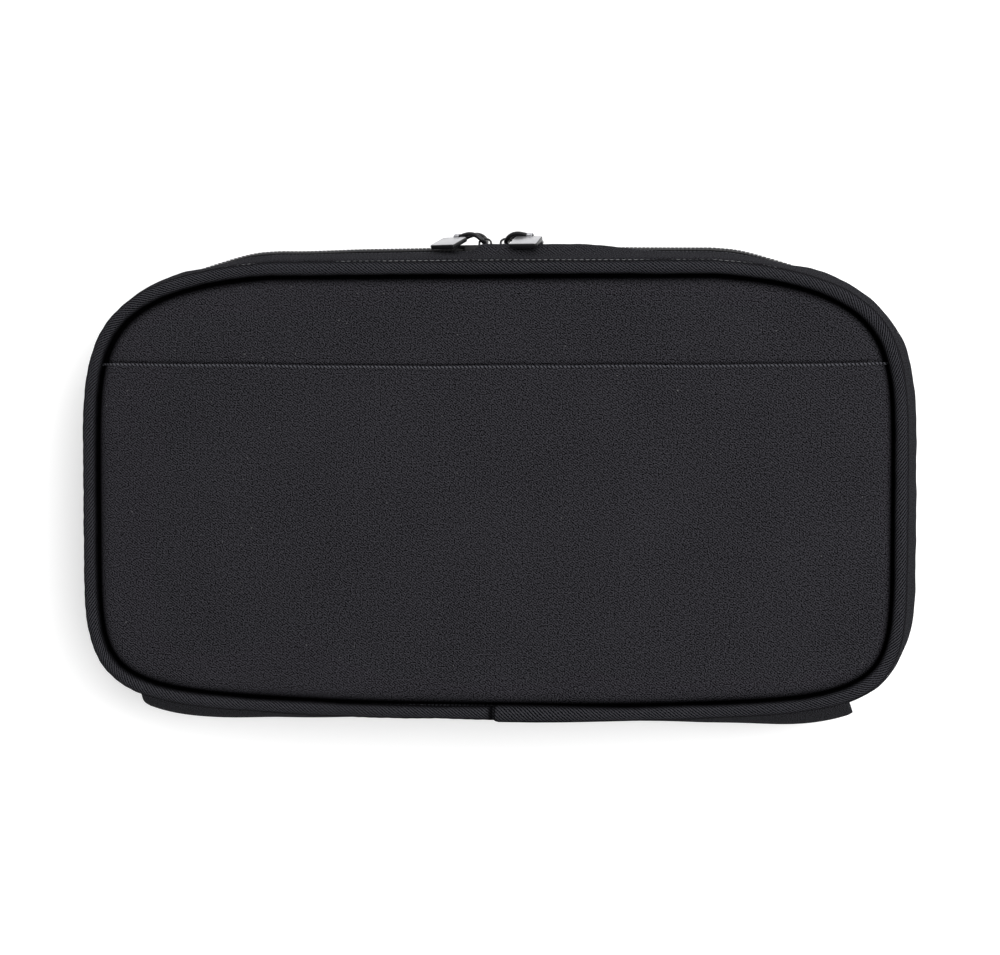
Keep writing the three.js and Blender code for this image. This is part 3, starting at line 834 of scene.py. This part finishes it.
def spine():
    """One strip of cloth from tray to tray, and its lining, which run across the lid's hinge."""
    reach = SPINE_S + 0.7
    s = np.linspace(-reach, reach, 300)
    half = np.r_[4.3, 4.8, 5.4, 6.4, np.linspace(8, 22.5, 9), 23.3, 24.0, 24.5]
    depth = np.r_[half, MIDDLE, DEPTH - half[::-1]]

    def layer(depth, lift, thickness, dip):
        near = np.minimum(depth, DEPTH - depth)
        outer = wall_offset(near) + lift - dip * bell(depth, MIDDLE, 0.9)
        return band(outer - 0.9 * bell(near, 4.2, 0.5), depth, thickness)

    section = layer(depth, 0.75, 1.5, 0.25)
    ends = smooth((reach - np.abs(s)) / 1.2)
    swell = 0.18 * wave(s, 41, 100, 3)
    taut = 2.4 * smooth((np.abs(s) - 66) / 38)
    slack = -0.9 * np.exp(-((s / 55) ** 4))
    shift = np.outer(swell + taut + slack, np.sin(section[:, 1] / DEPTH * np.pi))
    shift -= 0.35 * (1 - ends)[:, None]
    # The whole strip is laid out by depth from the back, as if it were all on the back tray.
    ob = sweep("spine_cloth", s, section, M["wall"], False, shift=(shift, 0), tuck=0)
    put(ob, "hinge", "twill", ["back_spine", "front_spine"])

    depth = np.r_[np.linspace(4.8, 22, 8), 23.5, 24.4, MIDDLE, 25.6, 26.5, np.linspace(28, 45.2, 8)]
    section = layer(depth, -2.8, 0.8, 0)
    ob = sweep("spine_lining_cloth", np.linspace(-reach, reach, 160), section, M["lining"], False, tuck=0)
    put(ob, "hinge", "lining", ["back_spine_lining", "front_spine_lining"])


def zipper(front):
    side, body = SIDES[front]
    s = np.linspace(*WALL_S, 520)
    depth = np.linspace(16, 24.2, 8)
    section = band(wall_offset(depth) - 1.85, depth, 0.5)
    ring(front, "tape_cloth", s, section, "tape", "zipper_tape", ["zipper_tape"])

    # The coil: one bead for each turn, set half a pitch from the other row's so that they mesh.
    pitch = 1.25
    at = np.arange(WALL_S[0] + 0.6, WALL_S[1] - 0.6, pitch) + (0 if front else pitch / 2)
    at = at[at < WALL_S[1] - 0.5]
    surface = float(wall_offset(24))

    def lowered(s):
        """How much lower the coil lies where it turns into the corners."""
        return 0.8 * smooth((0.985 - edge_at(s)[1][:, 1]) / 0.05)

    offset = surface - 0.95 - lowered(at)
    centres, _, up = on_surface(at, offset, 23.85, front)
    across = [0, 0, 1 if front else -1]
    ob = beads(f"{side}_coil_turns", centres, across, up, (1.5, 0.30, 0.62), M["coil"], capsule(8, 7))
    put(ob, body, "zipper_coil", [f"{side}_zipper_coil"])
    # The filler cord that runs through the coil.
    section = rounded(10, 0.58, 1.0, at=(surface - 0.98, 23.5))
    ring(front, "coil_core", s, section, "coil", "zipper_coil", shift=(-lowered(s)[:, None], 0))
    # The two rows of thread that sew the coil to its tape.
    rows = [on_surface(at, offset + 0.61, depth, front) for depth in (22.75, 23.2)]
    lock = [np.concatenate(k) for k in zip(*rows)]
    put(beads(f"{side}_coil_thread", *lock, (0.62, 0.12, 0.12), M["thread"]), body, "zipper_tape")


def binding(front):
    s = all_round(600)
    around = 14
    section = rounded(around, 0.62, 1.5, 0.7, 0.6, at=(-5.5, 7.9))
    shift = swollen(0.12 * wave(s, 51 + front, 25, 4), around)
    looks = ("binding", "zipper_tape", ["seam_binding"])
    ring(front, "binding_tape", s, section, *looks, closed=True, shift=shift)
    stitch_line(front, "binding_stitches", (2, PERIMETER - 2), -6.16, 8.2, 3.0, "zipper_tape")


def tray_floors():
    for front, seed in ((False, 5), (True, 6)):
        side, body = SIDES[front]
        grid, _ = panel_rings(4.75, 0.1, dip=2, crown=0.05, seed=seed, ripple=0.18, edge_offset=-4.9)
        low = np.minimum(grid[..., 2], 4.95)
        grid[..., 2] = DEPTH - low - 1.1 if front else low
        ob = sheet_from_rings(f"{side}_floor_lining", grid, M["lining"], 0.7, up=not front)
        put(ob, body, "lining", [f"{side}_lining"])

    grid, _ = panel_rings(1.0, edge_depth=-2.2, dip=2.2, crown=-0.3, seed=8, ripple=0.1, edge_offset=-3.3)
    grid[..., 2] = np.maximum(grid[..., 2] - 0.9, 0.0)
    ob = sheet_from_rings("back_panel_cloth", grid, M["face"], 0.8, up=False)
    put(ob, "back_tray", "twill", ["back_panel"])


def foam_boards():
    """The foam board that stiffens each tray, behind its panel's cloth."""
    insets = np.array([0.0, 0.15, 0.45, 0.9, 1.6, 3.0, 6.0, 10.0])
    s = all_round(360)
    rings = [edge_at(s, BOARD_OFFSET - inset)[0] for inset in insets]
    rings += [rings[-1] * share for share in np.linspace(0.94, 0.03, 24)]
    reach = np.r_[insets, np.full(24, insets[-1])]
    thick = BOARD_THICKNESS / 2 * np.sqrt(1 - (1 - np.clip(reach / 1.4, 0, 1)) ** 2)
    for front, middle in ((True, DEPTH - 3.55), (False, 2.45)):
        side, body = SIDES[front]
        upper = np.array([raised_to(p, middle + t) for p, t in zip(rings, thick)])
        lower = upper * [1, 1, -1] + [0, 0, 2 * middle]
        grid = sagged(np.concatenate([lower[:0:-1], upper]))
        ob = loft(f"{side}_foam_board", grid, np.arange(len(grid)), np.append(s, PERIMETER), M["foam"])
        put(edited(ob, outward), body, "stiffener", [f"{side}_stiffener"])


# ---- inside: straps and net pocket
STRAP_WIDTH, STRAP_LOOPS, STRAP_PITCH, STRAP_RISE = 25.0, 5, 38.0, 4.9
STRAP_FLOOR, STRAP_CLOTH, LAND = 5.05, 1.0, 2.0


def strap_height(x):
    """Height of the strap's underside above its tacks at x, measured from the strap's start."""
    t = np.mod(x, STRAP_PITCH)
    share = np.clip((t - LAND) / (STRAP_PITCH - 2 * LAND), 0, 1)
    return STRAP_RISE * (1 - np.abs(2 * share - 1) ** 3.4) ** 1.15


def strap(name, y):
    length = STRAP_LOOPS * STRAP_PITCH
    x = np.linspace(0, length, 420)
    h = strap_height(x)
    cy, cz = rounded(36, STRAP_WIDTH / 2, STRAP_CLOTH / 2, 0.12, 0.5).T
    from_tack = np.mod(x + STRAP_PITCH / 2, STRAP_PITCH) - STRAP_PITCH / 2
    pinch = 1 - 0.035 * bell(from_tack, 0, 2.2)
    bow = 0.10 * wave(x * 3.1, 60 + int(y), 60, 3)
    curl = -0.16 * (cy / (STRAP_WIDTH / 2)) ** 2
    rise = (bow[:, None] + curl) * (h / STRAP_RISE)[:, None]
    z = STRAP_FLOOR + STRAP_CLOTH / 2 + h[:, None] + cz + rise
    grid = stacked((x - length / 2)[:, None], y + cy * pinch[:, None], z)
    u = lengths(np.column_stack([x, h]))
    ob = loft(f"{name}_web", grid, u, np.append(cy, cy[0]), M["elastic"], flip=True)
    put(ob, "back_tray", "elastic", [name])

    top = STRAP_FLOOR + STRAP_CLOTH + 0.02
    k, dx, m = np.meshgrid(np.arange(STRAP_LOOPS + 1), (-0.8, 0.0, 0.8), np.arange(15), indexing="ij")
    inward = 1.2 * (k == 0) - 1.2 * (k == STRAP_LOOPS)  # the end tacks stay on the strap
    across = (m - 7) * 1.55 + 0.5 * (dx != 0)
    centres = stacked(k * STRAP_PITCH - length / 2 + dx + inward, y + across, top).reshape(-1, 3)
    along = stacked(np.where(m % 2, 0.35, -0.35), 1, 0).reshape(-1, 3)
    ob = beads(f"{name}_tacks", centres, along, [0, 0, 1], (0.72, 0.17, 0.12), M["thread"])
    put(ob, "back_tray", "elastic")


NET_HALF, NET_BOTTOM, NET_MOUTH, NET_R = 91.5, -51.5, 18.0, 12.0
NET_HIGH, NET_LOW = 43.6, 38.5


def net_inside(x, y):
    """How far a point is inside the net pocket's sewn sides and bottom."""
    dx, dy = NET_HALF - abs(x), y - NET_BOTTOM
    if dx < NET_R and dy < NET_R:
        return NET_R - math.hypot(NET_R - dx, NET_R - dy)
    return min(dx, dy)


def net_z(x, y):
    """The net's height, which drops from its sewn edge to its middle."""
    return NET_HIGH - 0.4 - (NET_HIGH - NET_LOW - 0.4) * float(smooth(net_inside(x, y) / 13) ** 0.7)


def net_pocket():
    cell = 3.4
    w, h = cell, cell * math.sqrt(3) / 2
    keys, verts, faces = {}, [], []

    def corner(x, y):
        key = (round(x * 20), round(y * 20))
        if key not in keys:
            keys[key] = len(verts)
            verts.append([x, y, net_z(x, y)])
        return keys[key]

    for row in range(-2, int((NET_MOUTH - NET_BOTTOM) / h) + 3):
        for col in range(-int(NET_HALF / w) - 2, int(NET_HALF / w) + 3):
            cx = col * w + (w / 2 if row % 2 else 0)
            cy = NET_BOTTOM + row * h
            r = cell / math.sqrt(3)
            turns = [math.pi / 3 * k for k in range(6)]
            pts = [(cx + r * math.sin(q), cy + r * math.cos(q)) for q in turns]
            if all(net_inside(*q) > 0.3 and q[1] < NET_MOUTH + 1.5 for q in pts):
                faces.append([corner(*q) for q in pts])
    ob = make("net_mesh", verts, faces, M["net"])
    modified(ob, "WIREFRAME", thickness=0.42 * MM, use_even_offset=False)
    put(ob, "lid", "net", ["net_pocket"])

    # The tape that binds the net's sides and bottom to the lining.
    path = [[-NET_HALF, y] for y in np.linspace(NET_MOUTH + 6, NET_BOTTOM + NET_R, 40)]
    path += arc(NET_R - NET_HALF, NET_BOTTOM + NET_R, NET_R, NET_R, 180, 270, 14)[1:]
    path += [[x, NET_BOTTOM] for x in np.linspace(-NET_HALF + NET_R, 0, 60)[1:]]
    path = np.array(path + [[-x, y] for x, y in path[-2::-1]])
    t = unit(np.gradient(path, axis=0))
    n = np.column_stack([t[:, 1], -t[:, 0]])
    across, down = rounded(16, 3.2, 0.5, 0.3, 0.6).T
    xy = path[:, None] + n[:, None] * (across - 0.4)[:, None]
    grid = stacked(xy[..., 0], xy[..., 1], 43.45 + down)
    u = lengths(path)
    put(loft("net_binding", grid, u, np.append(across, across[0]), M["binding"]), "lid", "elastic")
    at = np.arange(0, u[-1], 3.0)
    for k, shift in enumerate((1.9, -2.6)):
        centres = raised_to(read_off(at, u, path + n * shift), 42.93)
        along = raised_to(read_off(at, u, t))
        ob = beads(f"net_stitches_{k}", centres, along, [0, 0, -1], STITCH, M["thread"])
        put(ob, "lid", "elastic")

    # The elastic at its mouth, gathered a little, with its ends sewn down.
    end = 93.5
    x = np.linspace(-end, end, 520)
    cy, cz = rounded(20, 3.0, 0.55, 0.25, 0.6).T
    ends = smooth((end - np.abs(x)) / 13) ** 0.7
    gather = 0.10 * np.sin(x * 2.3 + 0.6 * np.sin(x * 0.31)) + 0.05 * np.sin(x * 3.7)
    z = 43.2 - (43.2 - 38.65) * ends + gather * ends
    grid = stacked(x[:, None], NET_MOUTH + 3.2 + cy, z[:, None] + cz)
    ob = loft("net_mouth_elastic", grid, x, np.append(cy, cy[0]), M["elastic"], flip=True)
    put(ob, "lid", "elastic", ["net_pocket_elastic"])


# ---- sliders and pulls
SLIDER_NOSE, SLIDER_LENGTH, SLIDER_HALF, SLIDER_PLATE = 0.5, 12.0, 3.9, 0.8
PLATE_LOW, UNDER_TOP, LIP_LOW = 73.3, 70.1, 71.75
BAR_X, BAR_Y = 3.3, 74.955
WIRE_R = 0.68
LOOP_LENGTH, LOOP_HALF, LOOP_ARCH, LOOP_SKEW, LOOP_ROLL = 10.8, 3.0, 2.7, 0.7, 2.0
LOOP_YAW = {"left": -14.0, "right": -6.0}
TAG_YAW = {"left": -12.0, "right": -4.0}
TAG_WIDTH, TAG_LENGTH, TAG_THICK, TAG_ALONG, TAG_DROOP = 8.6, 8.4, 1.1, 7.9, 20.0
TAG_START, LUG_R = 1.3, 1.15
JOINT = {j["name"]: j for j in frame["joints"]}


def joined(name, obs):
    """Several meshes joined into one and shaded smooth, but for its sharper edges."""
    bpy.ops.object.select_all(action="DESELECT")
    for ob in obs:
        ob.select_set(True)
    bpy.context.view_layer.objects.active = obs[0]
    bpy.ops.object.join()
    bpy.ops.object.shade_smooth_by_angle(angle=math.radians(40))
    obs[0].name = name
    obs[0].select_set(False)
    return obs[0]


def prism(name, line, place, low, high, material, bevel, segments=3):
    """An outline thickened from low to high. place turns (a, b, height) into a point."""
    n = len(line)
    verts = [place(a, b, h) for h in (low, high) for a, b in line]
    faces = [list(range(n))[::-1], list(range(n, 2 * n))]
    faces += [[k, (k + 1) % n, n + (k + 1) % n, n + k] for k in range(n)]
    ob = edited(make(name, verts, faces, material, shade=False, axes=(0, 2)), outward)
    edge = dict(width=bevel * MM, segments=segments, limit_method="ANGLE", angle_limit=math.radians(35))
    return applied(ob, "BEVEL", **edge)


def round_rect(a0, b0, a1, b1, r, steps=6):
    pts = []
    left, right, low, high = a0 + r, a1 - r, b0 + r, b1 - r
    for cx, cy, start in ((right, high, 0), (left, high, 90), (left, low, 180), (right, low, 270)):
        pts += arc(cx, cy, r, r, start, start + 90, steps + 1)
    return pts


def slider(side):
    sign = 1 if side == "right" else -1
    nose, tail, half = SLIDER_NOSE, SLIDER_NOSE + SLIDER_LENGTH, SLIDER_HALF
    top = PLATE_LOW + SLIDER_PLATE
    lower = arc(nose + 2.6, -half * 0.52, 2.6, half * 0.48, 180, 270, 9)
    lower += arc(tail - 1.1, -half * 0.84 + 1.1, 1.1, 1.1, 270, 360, 7)
    plate = lower + [(x, -z) for x, z in lower[::-1]]
    neck = round_rect(nose + 1, -0.3, nose + 4, 0.3, 0.25)
    lip = round_rect(nose + 3, half - 0.8, tail - 3, half - 0.15, 0.25)
    rail = round_rect(nose + 1.6, -0.55, tail - 0.8, 0.55, 0.5)

    def place(a, b, h):
        return [sign * a, h, MIDDLE + b]

    parts = [
        prism("slider", line, place, low, high, M["gunmetal"], bevel)
        for line, low, high, bevel in (
            (plate, PLATE_LOW, top, 0.22),
            (plate, UNDER_TOP - SLIDER_PLATE, UNDER_TOP, 0.22),
            (neck, UNDER_TOP - 0.4, PLATE_LOW + 0.4, 0.1),
            (lip, LIP_LOW, PLATE_LOW + 0.4, 0.1),
            (rail, PLATE_LOW + 0.4, top + 0.14, 0.1),
        )
    ]

    # The bridge that the loop hangs from: a strap bent over the wire.
    reach, rise = 1.5 + 0.3, 0.95 + 0.3
    over = arc(BAR_X, BAR_Y, reach, rise, 180, 0, 25)
    path = np.array([(BAR_X - reach, top - 0.2), *over, (BAR_X + reach, top - 0.2)])
    t = unit(np.gradient(path, axis=0))
    wide, thick = rounded(16, 0.9, 0.3, 0.5, 0.5).T
    grid = stacked(sign * (path[:, :1] - t[:, 1:] * thick), path[:, 1:] + t[:, :1] * thick, MIDDLE + wide)
    bridge = loft("bridge", grid, np.arange(len(path)), np.arange(17), M["gunmetal"], flip=sign > 0)
    ob = joined(f"slider_{side}_body", [*parts, bridge])
    put(ob, f"slider_{side}", "black_metal", [f"slider_{side}"])


def turned(axis, degrees):
    return np.array(Matrix.Rotation(math.radians(degrees), 3, axis))


def loop_height(x):
    """How far the loop's wire arches up at x along it."""
    return LOOP_ARCH * np.sin(np.pi * np.clip(x / LOOP_LENGTH, 0, 1) ** LOOP_SKEW)


def pull(side):
    sign = 1 if side == "right" else -1
    pivot = np.array(JOINT[f"loop_{side}_hinge"]["pos_m"]) / MM
    turn = turned("Y", LOOP_YAW[side]) @ turned("X", LOOP_ROLL)

    def place(points):
        return pivot + (np.array(points, float) * [sign, 1, 1]) @ turn.T

    x, z = rounded(120, -LOOP_LENGTH / 2, LOOP_HALF, 0.62, 0.5, at=(LOOP_LENGTH / 2, 0)).T
    line = np.column_stack([x, loop_height(x), z])
    length = lengths(line, closed=True)
    even = np.linspace(0, length[-1], 110, endpoint=False)
    line = read_off(even, length, np.vstack([line, line[:1]]))
    for _ in range(3):
        line = (np.roll(line, 1, 0) + line * 2 + np.roll(line, -1, 0)) / 4
    ob = tube(f"pull_loop_{side}_wire", place(line), WIRE_R, M["gunmetal"], sides=16)
    put(ob, f"loop_{side}", "black_metal", [f"pull_loop_{side}"])

    # The tag: a plate with softened edges and a shallow tray on both faces, and its lug.
    at = place([TAG_ALONG, float(loop_height(TAG_ALONG)), LOOP_HALF])
    hang = turn @ turned("Y", TAG_YAW[side]) @ turned("X", TAG_DROOP - LOOP_ROLL)

    def tag_place(x, z, y):
        return list(at + hang @ np.array([x, y, z]))

    half, start, t = TAG_WIDTH / 2, TAG_START, TAG_THICK / 2 + 0.08
    end = start + TAG_LENGTH
    plate = round_rect(-half, start, half, end, 0.6, 5)
    rim = round_rect(-half + 0.22, start + 0.22, half - 0.22, end - 0.22, 0.5, 5)
    parts = [prism("tag", plate, tag_place, -t, t, M["gunmetal"], 0.22)]
    for low, high in ((-t - 0.10, -t + 0.12), (t - 0.12, t + 0.10)):
        parts.append(prism("tray", rim, tag_place, low, high, M["silver"], 0.07, 2))
    section = rounded(12, 0.9, 0.2, 0.4, 0.6) + [0, LUG_R]
    grid = [[tag_place(w, r * math.sin(q), r * math.cos(q)) for w, r in section] for q in circle(28)]
    parts.append(loft("lug", np.array(grid), np.arange(29), np.arange(13), M["silver"], wrap_rows=True))
    put(joined(f"pull_tag_{side}_plate", parts), f"tag_{side}", "silver_metal", [f"pull_tag_{side}"])


# ---- the studio
def studio():
    size = 6.0
    corners = [(x * size, y * size, -0.0001) for x, y in ((-1, -1), (1, -1), (1, 1), (-1, 1))]
    me = bpy.data.meshes.new("floor")
    me.from_pydata(corners, [], [(0, 1, 2, 3)])
    white = (1, 1, 1, 1)
    mat, _, _ = shader(
        "floor_paper", Roughness=0.9, Base_Color=(0.9, 0.9, 0.9, 1), Specular_IOR_Level=0.1,
        Emission_Color=white, Emission_Strength=0.29
    )
    me.materials.append(mat)
    added("floor", me)

    world = bpy.data.worlds.new("studio")
    bpy.context.scene.world = world
    world.use_nodes = True
    background = world.node_tree.nodes["Background"]
    background.inputs["Color"].default_value = white
    background.inputs["Strength"].default_value = 0.5

    for name, place, look, size, power in (
        ("key", (0.7, 0.34, 1.45), (0, 0, 0.02), (1.3, 1.1), 28.5),
        ("back", (0.0, 1.6, 0.35), (0, 0.07, 0.03), (1.8, 0.4), 9),
    ):
        data = bpy.data.lights.new(name, "AREA")
        data.shape = "RECTANGLE"
        data.size, data.size_y = size
        data.energy = power
        ob = added(name, data)
        ob.location = place
        ob.rotation_euler = (Vector(look) - Vector(place)).to_track_quat("-Z", "Y").to_euler()


def camera():
    """Above the face, a little to the zipper's side and to the right."""
    data = bpy.data.cameras.new("camera")
    cam = added("camera", data)
    bpy.context.scene.camera = cam
    target = Vector((3.4, 3.6, 50.0)) * MM
    right, up = math.radians(4.9), math.radians(2.4)
    distance = 0.65
    back = Vector((math.tan(right), math.tan(up), 1)).normalized()
    cam.location = target + back * distance
    x = Vector((0, 1, 0)).cross(back).normalized()
    cam.rotation_mode = "QUATERNION"
    cam.rotation_quaternion = Matrix((x, back.cross(x), back)).transposed().to_quaternion()
    data.sensor_width = 36
    data.lens = 78.5
    data.clip_start, data.clip_end = 0.01, 20


# ---- put together
studio()
camera()
front_face()
for is_front in (True, False):
    piping(is_front)
    side_wall(is_front)
    zipper(is_front)
    binding(is_front)
spine()
tray_floors()
foam_boards()
for strap_name, strap_y in (("elastic_loops_upper", 24.0), ("elastic_loops_lower", -24.0)):
    strap(strap_name, strap_y)
net_pocket()
for pull_side in ("left", "right"):
    slider(pull_side)
    pull(pull_side)

bpy.context.scene.view_settings.view_transform = "Standard"
